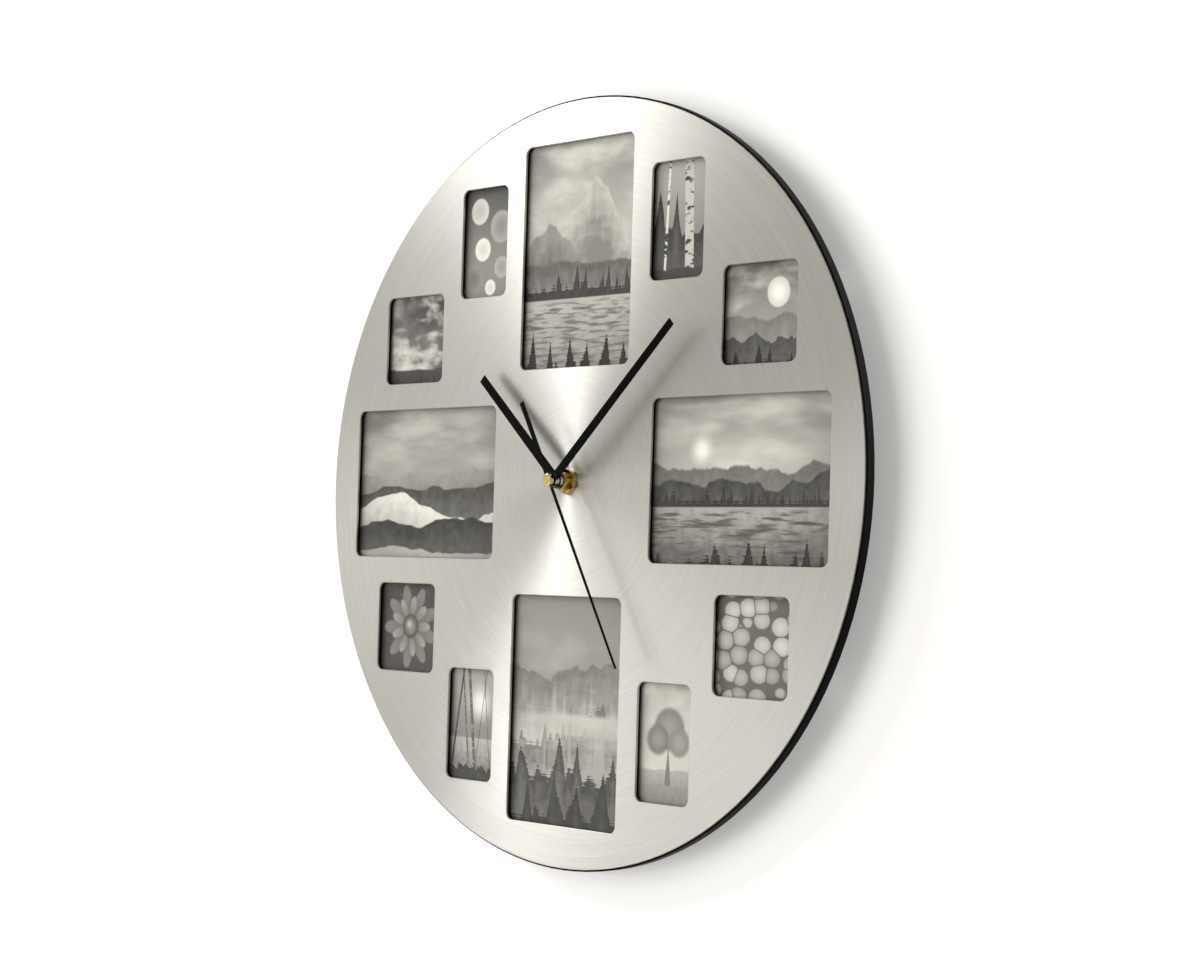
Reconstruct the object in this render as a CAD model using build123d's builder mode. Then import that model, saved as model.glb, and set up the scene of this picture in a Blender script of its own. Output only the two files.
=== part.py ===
"""Round photo frame wall clock: a brushed aluminium disc with twelve picture windows.

X runs to the right of the dial, Z runs up and Y runs into the wall, in millimetres.
The origin lies on the wall plane, where the axis of the hands meets the flat back of the movement.
Every depth is given as a distance out from the wall, so a depth of 18.8 lies at Y = -18.8.
"""
import os
from math import acos, cos, pi, radians, sin, sqrt, tan

from build123d import *

os.makedirs("parts", exist_ok=True)

# Driving sizes of the picture disc
hub_clear = 52.0
edge_margin = 19.4
plate_thickness = 1.0
plate_chamfer = 0.25
plate_setback = 0.85
web_thickness = 1.4
pane_thickness = 0.8
print_thickness = 0.3
back_cover_thickness = 1.5
rim_width = 9.0
back_cover_gap = 0.4
aperture_step = 0.3
pocket_margin = 2.5
pocket_gap = 0.2
window_corner = 3.5
large_window_short = 72.0
large_window_long = 103.6
tall_width_share = 0.184
tall_height_share = 0.29714
tall_gap_share = 0.06914
tall_margin_share = 0.07829
square_side_share = 0.24343
square_gap_share = 0.07314
square_margin_share = 0.06629

# Driving sizes of the turn buttons on the back
button_count = 6
button_first_angle = 30.0
button_width = 6.0
button_reach = 14.0
button_thickness = 0.8
button_screw_radius = 1.1
button_screw_depth = 3.0
button_head_radius = 2.2
button_head_height = 1.1
slip = 0.05

# Driving sizes of the movement
case_side = 56.0
case_corner = 3.0
case_wall = 1.2
cover_thickness = 1.5
seat_gap = 0.5
cover_opening_gap = 2.0
battery_radius = 7.0
battery_length = 49.5
battery_tip_radius = 2.7
battery_tip_length = 1.0
battery_gap = 0.4
battery_sink = 0.4
partition_thickness = 1.2
contact_thickness = 0.4
tab_width = 16.0
tab_length = 14.0
tab_thickness = 2.5
tab_hole_radius = 3.5

# Driving sizes of the central fixing and the pipes
bush_radius = 3.9
bush_flange_radius = 5.0
bush_flange_thickness = 0.6
bush_front_length = 6.6
bush_hole_gap = 0.3
thread_pitch = 0.75
thread_depth = 0.28
washer_radius = 5.2
washer_thickness = 0.3
nut_across_flats = 10.7
nut_thickness = 2.5
nut_turn = 40.0
nut_cone_margin = 0.1
running = 0.05
hour_pipe_radius = 2.5
minute_pipe_radius = 1.75
seconds_arbor_radius = 0.5
arbor_radius = 0.4
pivot_depth = 0.6
pipe_overhang = 0.2
post_radius = 0.5
setting_arbor_radius = 0.8

# Driving sizes of the hands, with angles clockwise from twelve
hand_thickness = 0.4
second_hand_thickness = 0.3
hour_hand_height = 7.5
hour_hand_length = 72.0
hour_hand_width = 4.7
hour_hand_tip = 4.2
hour_hand_angle = -48.0
hour_hub_radius = 3.5
minute_hand_height = 10.2
minute_hand_length = 99.6
minute_hand_width = 4.3
minute_hand_tip = 3.8
minute_hand_angle = 47.0
minute_hub_radius = 2.9
hub_space = 0.3
second_hand_height = 12.2
second_hand_length = 94.6
second_hand_width = 1.7
second_hand_tip = 1.1
second_hand_angle = 150.5
second_tail_length = 41.0
second_tail_width = 2.6
second_neck_radius = 1.2
second_cap_radius = 2.95
second_cap_height = 1.5

# Driving sizes of the gear train
axis_distance = 9.6
rotor_distance = 7.0
motion_angle = 100.0
third_angle = 170.0
step_angle = 10.0
rotor_angle = 70.0
setting_angle = 95.0
hour_teeth = 40
motion_pinion_teeth = 10
cannon_teeth = 16
motion_teeth = 48
setting_teeth = 18
centre_teeth = 80
third_pinion_teeth = 10
third_teeth = 75
seconds_pinion_teeth = 10
seconds_teeth = 50
step_pinion_teeth = 10
step_teeth = 60
rotor_pinion_teeth = 10
pressure_angle = radians(25.0)
tooth_addendum = 0.9
tooth_dedendum = 1.25
tooth_slack = 0.13
thick_wheel = 1.0
thin_wheel = 0.8
hour_play = 0.2
motion_play = 0.4
centre_play = 0.6
third_play = 0.4
seconds_play = 0.6
step_play = 0.8
rotor_play = 0.6
rotor_height = 2.2
rotor_radius = 3.0
rotor_air_gap = 0.5

# Driving sizes of the setting knob and its cup
knob_radius = 5.0
knob_gap = 0.6
knob_recess = 0.3
knob_height = 2.0
knob_floor_gap = 0.2
knob_slot_width = 1.2
knob_slot_margin = 1.0
cup_wall = 0.8

# Driving sizes of the motor, the circuit board and the contacts
stator_inner = 7.0
stator_width = 9.7
stator_thickness = 1.5
stator_arm_past = 2.0
coil_x = 21.5
coil_radius = 4.0
coil_low = -7.5
coil_high = 20.0
coil_end_gap = 0.6
core_side = 2.4
board_thickness = 1.0
board_width = 7.5
board_low = -7.0
board_high = 21.0
board_gap = 2.2
crystal_radius = 1.5
crystal_height = 4.0
crystal_inset = 6.0
contact_width = 7.0
contact_height = 9.0

# Depths that follow from the sizes above, measured out from the wall
dial_radius = hub_clear + large_window_long + edge_margin
case_depth = battery_sink + 2 * battery_radius + 2 * battery_gap + case_wall
plate_back = case_depth + web_thickness
face = plate_back + plate_thickness
pane_back = case_depth - pane_thickness
print_back = pane_back - print_thickness
body_back = print_back - back_cover_thickness
body_thickness = plate_back - body_back
back_cover_radius = dial_radius - rim_width
recess_radius = back_cover_radius + back_cover_gap
button_radius = dial_radius - rim_width / 2
case_half = case_side / 2
case_inner = case_half - case_wall
case_front_inner = case_depth - case_wall
battery_z = -case_inner + battery_gap + battery_radius
battery_depth = battery_sink + battery_radius
partition_bottom = battery_z + battery_radius + battery_gap
partition_top = partition_bottom + partition_thickness

# Levels of the wheels, stacked from the case front towards the wall
hour_level = case_front_inner - bush_flange_thickness - hour_play - thick_wheel
motion_level = hour_level - motion_play - thick_wheel
centre_level = motion_level - centre_play - thin_wheel
third_level = centre_level - third_play - thin_wheel
seconds_level = third_level - seconds_play - thin_wheel
step_level = seconds_level - step_play - thin_wheel
rotor_level = step_level - rotor_play - rotor_height
stator_front = rotor_level + rotor_height
stator_back = stator_front - stator_thickness
coil_depth = stator_front + core_side / 2
board_depth = case_front_inner - board_gap - board_thickness

# Window places: each window keeps a gap to its neighbour and a margin between its outer corner and the edge
large_window_radius = hub_clear + large_window_long / 2
tall_window_width = tall_width_share * dial_radius
tall_window_height = tall_height_share * dial_radius
tall_window_gap = tall_gap_share * dial_radius
tall_window_margin = tall_margin_share * dial_radius
square_window_side = square_side_share * dial_radius
square_window_gap = square_gap_share * dial_radius
square_window_margin = square_margin_share * dial_radius
tall_window_x = large_window_short / 2 + tall_window_gap + tall_window_width / 2
tall_corner_x = tall_window_x + tall_window_width / 2
tall_window_z = sqrt((dial_radius - tall_window_margin) ** 2 - tall_corner_x ** 2) - tall_window_height / 2
square_window_z = large_window_short / 2 + square_window_gap + square_window_side / 2
square_corner_z = square_window_z + square_window_side / 2
square_reach = dial_radius - square_window_margin
square_window_x = sqrt(square_reach ** 2 - square_corner_z ** 2) - square_window_side / 2

# Window table: number, centre and size, going round like the hours
windows = []
for hour in range(1, 13):
    turn = radians(30 * hour)
    across, up = round(sin(turn), 6), round(cos(turn), 6)
    side = (across > 0) - (across < 0)
    rise = (up > 0) - (up < 0)
    if hour in (12, 6):
        windows.append((hour, 0, rise * large_window_radius, large_window_short, large_window_long))
    elif hour in (3, 9):
        windows.append((hour, side * large_window_radius, 0, large_window_long, large_window_short))
    elif hour in (1, 5, 7, 11):
        tall_place = (side * tall_window_x, rise * tall_window_z)
        windows.append((hour, *tall_place, tall_window_width, tall_window_height))
    else:
        square_place = (side * square_window_x, rise * square_window_z)
        windows.append((hour, *square_place, square_window_side, square_window_side))


def polar(radius, degrees_up, origin=(0.0, 0.0)):
    """Point at a radius and an angle, counted anticlockwise from the right as seen from the front."""
    angle = radians(degrees_up)
    return (origin[0] + radius * cos(angle), origin[1] + radius * sin(angle))


def post(depth, length, radius, at=(0, 0), mode=Mode.ADD):
    """Round post or hole that starts at a depth and runs outward from the wall."""
    with BuildSketch(Plane.XZ.offset(depth)) as profile:
        with Locations(at):
            Circle(radius)
    extrude(profile.sketch, amount=length, mode=mode)


def block(depth, length, width, height, at=(0, 0), corner=0.0, mode=Mode.ADD):
    """Rectangular block or pocket, with rounded corners where a corner radius is given."""
    with BuildSketch(Plane.XZ.offset(depth)) as profile:
        with Locations(at):
            if corner > 0:
                RectangleRounded(width, height, corner)
            else:
                Rectangle(width, height)
    extrude(profile.sketch, amount=length, mode=mode)


def outline(depth, length, points, mode=Mode.ADD):
    """Prism over a closed outline of points."""
    with BuildSketch(Plane.XZ.offset(depth)) as profile:
        with BuildLine():
            Polyline(*points, close=True)
        make_face()
    extrude(profile.sketch, amount=length, mode=mode)


def involute(angle):
    """Angle by which an involute runs ahead at a given pressure angle."""
    return tan(angle) - angle


def gear(depth, length, teeth, module, phase, at=(0, 0)):
    """Toothed wheel with involute flanks drawn as short straight lines; a tooth points along the phase."""
    pitch = module * teeth / 2
    base = pitch * cos(pressure_angle)
    tip = pitch + tooth_addendum * module
    root = pitch - tooth_dedendum * module
    half_tooth = (pi / 2 - tooth_slack) / teeth + involute(pressure_angle)
    start = max(base, root)
    radii = [root]
    if start > root:
        radii.append(start)
    if teeth < 30:
        radii.append((start + tip) / 2)
    radii.append(tip)
    halves = [half_tooth - (involute(acos(base / radius)) if radius > base else 0.0) for radius in radii]
    points = []
    for index in range(teeth):
        centre = radians(phase) + 2 * pi * index / teeth
        for radius, half in zip(radii, halves):
            points.append((at[0] + radius * cos(centre - half), at[1] + radius * sin(centre - half)))
        for radius, half in reversed(list(zip(radii, halves))):
            points.append((at[0] + radius * cos(centre + half), at[1] + radius * sin(centre + half)))
    outline(depth, length, points)


def spacing_module(distance, first, second):
    """Module that sets two tooth counts at a given distance."""
    return 2 * distance / (first + second)


def facing_gap(direction, teeth):
    """Phase that turns a tooth gap back along a direction."""
    return direction + 180 + 180 / teeth


# Front plate of spun aluminium with its twelve windows
with BuildPart() as front_plate:
    post(plate_back, plate_thickness, dial_radius - plate_setback)
    for number, x, z, width, height in windows:
        block(plate_back, plate_thickness, width, height, (x, z), window_corner, Mode.SUBTRACT)
    post(plate_back, plate_thickness, bush_radius + bush_hole_gap, mode=Mode.SUBTRACT)
    chamfer(front_plate.faces().sort_by(Axis.Y)[0].edges(), plate_chamfer)
front_plate.part.label = "front_plate"
export_step(front_plate.part, "parts/front_plate.step")

# Black frame body behind the plate, with window pockets, a seat for the movement and a recess for the back
button_angles = [button_first_angle + 360 / button_count * index for index in range(button_count)]
with BuildPart() as frame_body:
    post(body_back, body_thickness, dial_radius)
    post(body_back, back_cover_thickness, recess_radius, mode=Mode.SUBTRACT)
    for number, x, z, width, height in windows:
        block(print_back, case_depth - print_back, width + 2 * pocket_margin,
              height + 2 * pocket_margin, (x, z), window_corner + pocket_margin, Mode.SUBTRACT)
        block(case_depth, web_thickness, width + 2 * aperture_step, height + 2 * aperture_step, (x, z),
              window_corner + aperture_step, Mode.SUBTRACT)
    block(print_back, case_depth - print_back, case_side + 2 * seat_gap, case_side + 2 * seat_gap,
          corner=case_corner + seat_gap, mode=Mode.SUBTRACT)
    post(case_depth, web_thickness, bush_radius + bush_hole_gap, mode=Mode.SUBTRACT)
    for angle in button_angles:
        post(body_back, button_screw_depth, button_screw_radius, polar(button_radius, angle), Mode.SUBTRACT)
frame_body.part.label = "frame_body"
export_step(frame_body.part, "parts/frame_body.step")

# Clear panes and prints, one pair to each pocket
for number, x, z, width, height in windows:
    pane_width = width + 2 * (pocket_margin - pocket_gap)
    pane_height = height + 2 * (pocket_margin - pocket_gap)
    pane_corner = window_corner + pocket_margin - pocket_gap
    with BuildPart() as window_pane:
        block(pane_back, pane_thickness, pane_width, pane_height, (x, z), pane_corner)
    window_pane.part.label = f"window_pane_{number:02d}"
    export_step(window_pane.part, f"parts/window_pane_{number:02d}.step")
    with BuildPart() as photo_print:
        block(print_back, print_thickness, pane_width, pane_height, (x, z), pane_corner)
    photo_print.part.label = f"photo_print_{number:02d}"
    export_step(photo_print.part, f"parts/photo_print_{number:02d}.step")

# Removable back cover, open in the middle for the movement
with BuildPart() as back_cover:
    post(body_back, back_cover_thickness, back_cover_radius)
    opening_side = case_side + 2 * cover_opening_gap
    block(body_back, back_cover_thickness, opening_side, opening_side,
          corner=case_corner + cover_opening_gap, mode=Mode.SUBTRACT)
back_cover.part.label = "back_cover"
export_step(back_cover.part, "parts/back_cover.step")

# Turn buttons that hold the back cover, each on its own screw in the rim
button_back = body_back - slip - button_thickness
for index, angle in enumerate(button_angles):
    pivot = polar(button_radius, angle)
    end = polar(button_radius - button_reach + button_width / 2, angle)
    with BuildPart() as turn_button:
        with BuildSketch(Plane.XZ.offset(button_back)) as profile:
            with Locations(((pivot[0] + end[0]) / 2, (pivot[1] + end[1]) / 2)):
                SlotOverall(button_reach + button_width / 2, button_width, rotation=angle)
            with Locations(pivot):
                Circle(button_screw_radius + running, mode=Mode.SUBTRACT)
        extrude(amount=button_thickness)
    turn_button.part.label = f"turn_button_{index + 1}"
    export_step(turn_button.part, f"parts/turn_button_{index + 1}.step")

with BuildPart() as turn_button_screws:
    head_back = button_back - slip - button_head_height
    for angle in button_angles:
        pivot = polar(button_radius, angle)
        post(head_back, button_head_height, button_head_radius, pivot)
        post(head_back, body_back + button_screw_depth - head_back, button_screw_radius, pivot)
        with BuildSketch(Plane.XZ.offset(head_back)) as slot:
            with Locations(pivot):
                Rectangle(2 * button_head_radius, button_head_radius / 4, rotation=angle + 45)
        extrude(slot.sketch, amount=button_head_height / 2, mode=Mode.SUBTRACT)
turn_button_screws.part.label = "turn_button_screws"
export_step(turn_button_screws.part, "parts/turn_button_screws.step")

# Axes of the movement
motion_axis = polar(axis_distance, motion_angle)
third_axis = polar(axis_distance, third_angle)
step_axis = polar(axis_distance, step_angle)
rotor_axis = polar(rotor_distance, rotor_angle, step_axis)
motion_module = spacing_module(axis_distance, cannon_teeth, motion_teeth)
setting_distance = motion_module * (motion_teeth + setting_teeth) / 2
setting_axis = polar(setting_distance, setting_angle, motion_axis)
train_axes = (third_axis, step_axis, rotor_axis)
cup_floor = knob_recess + knob_height + knob_floor_gap
arbor_back = cover_thickness - pivot_depth
arbor_length = case_front_inner + pivot_depth - arbor_back

# Movement case: a tray open to the back, with the battery bay below and the hanger tab above
with BuildPart() as movement_case:
    block(cover_thickness, case_depth - cover_thickness, case_side, case_side, corner=case_corner)
    block(cover_thickness, case_front_inner - cover_thickness, 2 * case_inner, 2 * case_inner,
          corner=case_corner - case_wall, mode=Mode.SUBTRACT)
    block(cover_thickness, case_front_inner - cover_thickness, 2 * case_inner, partition_thickness,
          (0, (partition_bottom + partition_top) / 2))
    block(cover_thickness, tab_thickness, tab_width, tab_length + case_wall,
          (0, case_half + (tab_length - case_wall) / 2), case_wall / 2)
    post(cover_thickness, tab_thickness, tab_hole_radius, (0, case_half + tab_length / 2), Mode.SUBTRACT)
    post(case_front_inner, case_wall, bush_radius + running, mode=Mode.SUBTRACT)
    post(motion_level - running, case_front_inner - motion_level + running, post_radius, motion_axis)
    for axis in train_axes:
        post(case_front_inner, pivot_depth, arbor_radius + running, axis, Mode.SUBTRACT)
    post(case_front_inner, pivot_depth, setting_arbor_radius + running, setting_axis, Mode.SUBTRACT)
movement_case.part.label = "movement_case"
export_step(movement_case.part, "parts/movement_case.step")

# Movement cover: the flat face against the wall, with the battery opening and a cup for the setting knob
with BuildPart() as movement_cover:
    block(0, cover_thickness, case_side, case_side, corner=case_corner)
    block(0, cover_thickness, 2 * case_inner - 2 * battery_gap, 2 * (battery_radius - battery_gap),
          (0, battery_z), case_wall, Mode.SUBTRACT)
    post(cover_thickness, cup_floor + cup_wall - cover_thickness,
         knob_radius + knob_gap + cup_wall, setting_axis)
    post(0, cup_floor, knob_radius + knob_gap, setting_axis, Mode.SUBTRACT)
    post(cup_floor, cup_wall, setting_arbor_radius + running, setting_axis, Mode.SUBTRACT)
    for axis in train_axes:
        post(arbor_back, pivot_depth, arbor_radius + running, axis, Mode.SUBTRACT)
    post(arbor_back, pivot_depth, seconds_arbor_radius + running, mode=Mode.SUBTRACT)
movement_cover.part.label = "movement_cover"
export_step(movement_cover.part, "parts/movement_cover.step")

# Brass bush with its thread, the washer and the hex nut on the face
hour_bore = minute_pipe_radius + running
bush_nose = face + bush_front_length
thread_start = face + washer_thickness + nut_thickness
with BuildPart() as threaded_bush:
    post(case_front_inner - bush_flange_thickness, bush_flange_thickness, bush_flange_radius)
    post(case_front_inner, bush_nose - case_front_inner, bush_radius)
    groove_count = int((bush_nose - thread_start) / thread_pitch)
    with BuildSketch(Plane.XY) as grooves:
        for index in range(groove_count):
            low = -(thread_start + (index + 0.1) * thread_pitch)
            high = -(thread_start + (index + 0.9) * thread_pitch)
            with BuildLine():
                Polyline((bush_radius + thread_depth, low), (bush_radius - thread_depth, (low + high) / 2),
                         (bush_radius + thread_depth, high), close=True)
            make_face()
    revolve(grooves.sketch, axis=Axis.Y, mode=Mode.SUBTRACT)
    post(case_front_inner - bush_flange_thickness, bush_nose - case_front_inner + bush_flange_thickness,
         hour_pipe_radius + running, mode=Mode.SUBTRACT)
threaded_bush.part.label = "threaded_bush"
export_step(threaded_bush.part, "parts/threaded_bush.step")

with BuildPart() as brass_washer:
    post(face, washer_thickness, washer_radius)
    post(face, washer_thickness, bush_radius + bush_hole_gap, mode=Mode.SUBTRACT)
brass_washer.part.label = "brass_washer"
export_step(brass_washer.part, "parts/brass_washer.step")

nut_corner_radius = nut_across_flats / 2 / cos(radians(30))
with BuildPart() as hex_nut:
    with BuildSketch(Plane.XZ.offset(face + washer_thickness)):
        RegularPolygon(nut_corner_radius, 6, rotation=nut_turn)
        Circle(bush_radius + running, mode=Mode.SUBTRACT)
    extrude(amount=nut_thickness)
    cone_radius = nut_corner_radius + nut_cone_margin
    cone_drop = (cone_radius - nut_across_flats / 2) * tan(radians(30))
    with BuildSketch(Plane.XY) as nut_cone:
        with BuildLine():
            front = -(face + washer_thickness + nut_thickness)
            Polyline((nut_across_flats / 2, front), (cone_radius, front),
                     (cone_radius, front + cone_drop), close=True)
        make_face()
    revolve(nut_cone.sketch, axis=Axis.Y, mode=Mode.SUBTRACT)
hex_nut.part.label = "hex_nut"
export_step(hex_nut.part, "parts/hex_nut.step")


def bar(depth, length, start, end, width, tip_width, angle):
    """Flat tapering bar along a clock angle, from one distance to another."""
    heading = radians(90 - angle)
    along = (cos(heading), sin(heading))
    beside = (-along[1], along[0])
    corners = ((start, width / 2), (end, tip_width / 2), (end, -tip_width / 2), (start, -width / 2))
    outline(depth, length, [(along[0] * reach + beside[0] * offset, along[1] * reach + beside[1] * offset)
                            for reach, offset in corners])


# Hands on their hubs
hour_blade = face + hour_hand_height
hour_hub_back = bush_nose + hub_space
hour_hub_front = hour_blade + hand_thickness + hub_space
with BuildPart() as hour_hand:
    bar(hour_blade, hand_thickness, 0, hour_hand_length, hour_hand_width, hour_hand_tip, hour_hand_angle)
    post(hour_hub_back, hour_hub_front - hour_hub_back, hour_hub_radius)
    post(hour_hub_back, hour_hub_front - hour_hub_back, hour_pipe_radius, mode=Mode.SUBTRACT)
hour_hand.part.label = "hour_hand"
export_step(hour_hand.part, "parts/hour_hand.step")

minute_blade = face + minute_hand_height
minute_hub_back = hour_hub_front + hub_space
minute_hub_front = minute_blade + hand_thickness + hub_space
with BuildPart() as minute_hand:
    bar(minute_blade, hand_thickness, 0, minute_hand_length, minute_hand_width,
        minute_hand_tip, minute_hand_angle)
    post(minute_hub_back, minute_hub_front - minute_hub_back, minute_hub_radius)
    post(minute_hub_back, minute_hub_front - minute_hub_back, minute_pipe_radius, mode=Mode.SUBTRACT)
minute_hand.part.label = "minute_hand"
export_step(minute_hand.part, "parts/minute_hand.step")

second_blade = face + second_hand_height
second_hub_back = minute_hub_front + hub_space
second_cap_back = second_blade + second_hand_thickness
with BuildPart() as second_hand:
    bar(second_blade, second_hand_thickness, 0, second_hand_length, second_hand_width, second_hand_tip,
        second_hand_angle)
    bar(second_blade, second_hand_thickness, 0, second_tail_length, second_tail_width, second_tail_width,
        second_hand_angle + 180)
    post(second_blade, second_hand_thickness, second_cap_radius)
    post(second_blade, second_hand_thickness, second_neck_radius, mode=Mode.SUBTRACT)
second_hand.part.label = "second_hand"
export_step(second_hand.part, "parts/second_hand.step")

with BuildPart() as second_hand_hub:
    post(second_hub_back, second_cap_back - second_hub_back, second_neck_radius)
    post(second_cap_back, second_cap_height, second_cap_radius)
    fillet(second_hand_hub.faces().sort_by(Axis.Y)[0].edges(), second_cap_height / 3)
    post(second_hub_back, second_cap_back - second_hub_back + second_cap_height / 2, seconds_arbor_radius,
         mode=Mode.SUBTRACT)
second_hand_hub.part.label = "second_hand_hub"
export_step(second_hand_hub.part, "parts/second_hand_hub.step")

# Hour wheel with its pipe
hour_module = spacing_module(axis_distance, motion_pinion_teeth, hour_teeth)
with BuildPart() as hour_wheel:
    gear(hour_level, thick_wheel, hour_teeth, hour_module, motion_angle)
    post(hour_level, hour_hub_front - hour_level, hour_pipe_radius)
    post(hour_level, hour_hub_front - hour_level, hour_bore, mode=Mode.SUBTRACT)
hour_wheel.part.label = "hour_wheel"
export_step(hour_wheel.part, "parts/hour_wheel.step")

# Minute pipe with the cannon pinion that drives the motion wheel
minute_pipe_back = centre_level - pipe_overhang
minute_bore = seconds_arbor_radius + running
with BuildPart() as minute_pipe:
    gear(motion_level, thick_wheel, cannon_teeth, motion_module, motion_angle)
    post(minute_pipe_back, minute_hub_front - minute_pipe_back, minute_pipe_radius)
    post(minute_pipe_back, minute_hub_front - minute_pipe_back, minute_bore, mode=Mode.SUBTRACT)
minute_pipe.part.label = "minute_pipe"
export_step(minute_pipe.part, "parts/minute_pipe.step")

# Motion wheel and pinion on the post moulded in the case
with BuildPart() as motion_wheel:
    gear(motion_level, thick_wheel, motion_teeth, motion_module,
         facing_gap(motion_angle, motion_teeth), motion_axis)
    gear(motion_level + thick_wheel, hour_level - motion_level, motion_pinion_teeth, hour_module,
         facing_gap(motion_angle, motion_pinion_teeth), motion_axis)
    post(motion_level, hour_level + thick_wheel - motion_level,
         post_radius + running, motion_axis, Mode.SUBTRACT)
motion_wheel.part.label = "motion_wheel"
export_step(motion_wheel.part, "parts/motion_wheel.step")

# Setting knob with its arbor and gear, meshing with the motion wheel
motion_tooth_step = 360 / motion_teeth
motion_phase = facing_gap(motion_angle, motion_teeth)
tooth_offset = (setting_angle - motion_phase) % motion_tooth_step
setting_phase = setting_angle + 180 + 180 / setting_teeth + tooth_offset * motion_teeth / setting_teeth
with BuildPart() as setting_knob:
    post(knob_recess, knob_height, knob_radius, setting_axis)
    post(knob_recess + knob_height, case_front_inner + pivot_depth / 2 - knob_recess - knob_height,
         setting_arbor_radius, setting_axis)
    gear(motion_level, thick_wheel, setting_teeth, motion_module, setting_phase, setting_axis)
    block(knob_recess, knob_height / 2, knob_slot_width, 2 * (knob_radius - knob_slot_margin), setting_axis,
          mode=Mode.SUBTRACT)
setting_knob.part.label = "setting_knob"
export_step(setting_knob.part, "parts/setting_knob.step")

# Centre wheel, held on the minute pipe by friction
centre_module = spacing_module(axis_distance, third_pinion_teeth, centre_teeth)
with BuildPart() as centre_wheel:
    gear(centre_level, thin_wheel, centre_teeth, centre_module, third_angle)
    post(centre_level, thin_wheel, minute_pipe_radius + running, mode=Mode.SUBTRACT)
centre_wheel.part.label = "centre_wheel"
export_step(centre_wheel.part, "parts/centre_wheel.step")

# Third wheel between the seconds pinion and the centre wheel
third_module = spacing_module(axis_distance, seconds_pinion_teeth, third_teeth)
with BuildPart() as third_wheel:
    gear(third_level, thin_wheel, third_teeth, third_module,
         facing_gap(third_angle, third_teeth), third_axis)
    gear(third_level + thin_wheel, centre_level - third_level, third_pinion_teeth, centre_module,
         facing_gap(third_angle, third_pinion_teeth), third_axis)
    post(arbor_back + pivot_depth / 2, arbor_length - pivot_depth, arbor_radius, third_axis)
third_wheel.part.label = "third_wheel"
export_step(third_wheel.part, "parts/third_wheel.step")

# Seconds wheel, pinion and the long arbor that carries the second hand
seconds_module = spacing_module(axis_distance, step_pinion_teeth, seconds_teeth)
seconds_front = second_cap_back + second_cap_height / 2
with BuildPart() as seconds_wheel:
    gear(seconds_level, thin_wheel, seconds_teeth, seconds_module, step_angle)
    gear(seconds_level + thin_wheel, third_level - seconds_level,
         seconds_pinion_teeth, third_module, third_angle)
    post(arbor_back + pivot_depth / 2, seconds_front - arbor_back - pivot_depth / 2, seconds_arbor_radius)
seconds_wheel.part.label = "seconds_wheel"
export_step(seconds_wheel.part, "parts/seconds_wheel.step")

# Step wheel between the rotor and the seconds wheel
step_module = spacing_module(rotor_distance, rotor_pinion_teeth, step_teeth)
with BuildPart() as step_wheel:
    gear(step_level, thin_wheel, step_teeth, step_module, rotor_angle, step_axis)
    gear(step_level + thin_wheel, seconds_level - step_level, step_pinion_teeth, seconds_module,
         facing_gap(step_angle, step_pinion_teeth), step_axis)
    post(arbor_back + pivot_depth / 2, arbor_length - pivot_depth, arbor_radius, step_axis)
step_wheel.part.label = "step_wheel"
export_step(step_wheel.part, "parts/step_wheel.step")

# Rotor: a round magnet with its pinion
with BuildPart() as rotor:
    post(rotor_level, rotor_height, rotor_radius, rotor_axis)
    gear(rotor_level + rotor_height, step_level + thin_wheel - rotor_level - rotor_height,
         rotor_pinion_teeth, step_module, facing_gap(rotor_angle, rotor_pinion_teeth), rotor_axis)
    post(arbor_back + pivot_depth / 2, arbor_length - pivot_depth, arbor_radius, rotor_axis)
rotor.part.label = "rotor"
export_step(rotor.part, "parts/rotor.step")

# Stator: a soft iron plate round the rotor with an arm to each end of the coil
with BuildPart() as stator:
    arm_end = coil_x + stator_arm_past
    block(stator_back, stator_thickness, stator_width, case_inner - partition_top,
          (stator_inner + stator_width / 2, (case_inner + partition_top) / 2))
    for low, high in ((coil_high + coil_end_gap, case_inner), (partition_top, coil_low - coil_end_gap)):
        block(stator_back, stator_thickness, arm_end - stator_inner, high - low,
              ((arm_end + stator_inner) / 2, (low + high) / 2))
    post(stator_back, stator_thickness, rotor_radius + rotor_air_gap, rotor_axis, Mode.SUBTRACT)
    post(stator_back, stator_thickness, 3 * arbor_radius, step_axis, Mode.SUBTRACT)
stator.part.label = "stator"
export_step(stator.part, "parts/stator.step")

# Coil wound round a square iron core, whose ends lie on the stator arms
with BuildPart() as drive_coil:
    with BuildSketch(Plane.XY.offset(coil_low)):
        with Locations((coil_x, -coil_depth)):
            Circle(coil_radius)
    extrude(amount=coil_high - coil_low)
    block(coil_depth - core_side / 2, core_side, core_side, case_inner - partition_top,
          (coil_x, (case_inner + partition_top) / 2))
drive_coil.part.label = "drive_coil"
export_step(drive_coil.part, "parts/drive_coil.step")

# Circuit board against the side wall, with its crystal can
with BuildPart() as circuit_board:
    block(board_depth, board_thickness, board_width, board_high - board_low,
          (-case_inner + board_width / 2, (board_low + board_high) / 2))
circuit_board.part.label = "circuit_board"
export_step(circuit_board.part, "parts/circuit_board.step")

with BuildPart() as quartz_crystal:
    post(board_depth - crystal_height, crystal_height, crystal_radius,
         (-case_inner + board_width / 2, board_high - crystal_inset))
quartz_crystal.part.label = "quartz_crystal"
export_step(quartz_crystal.part, "parts/quartz_crystal.step")

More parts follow.
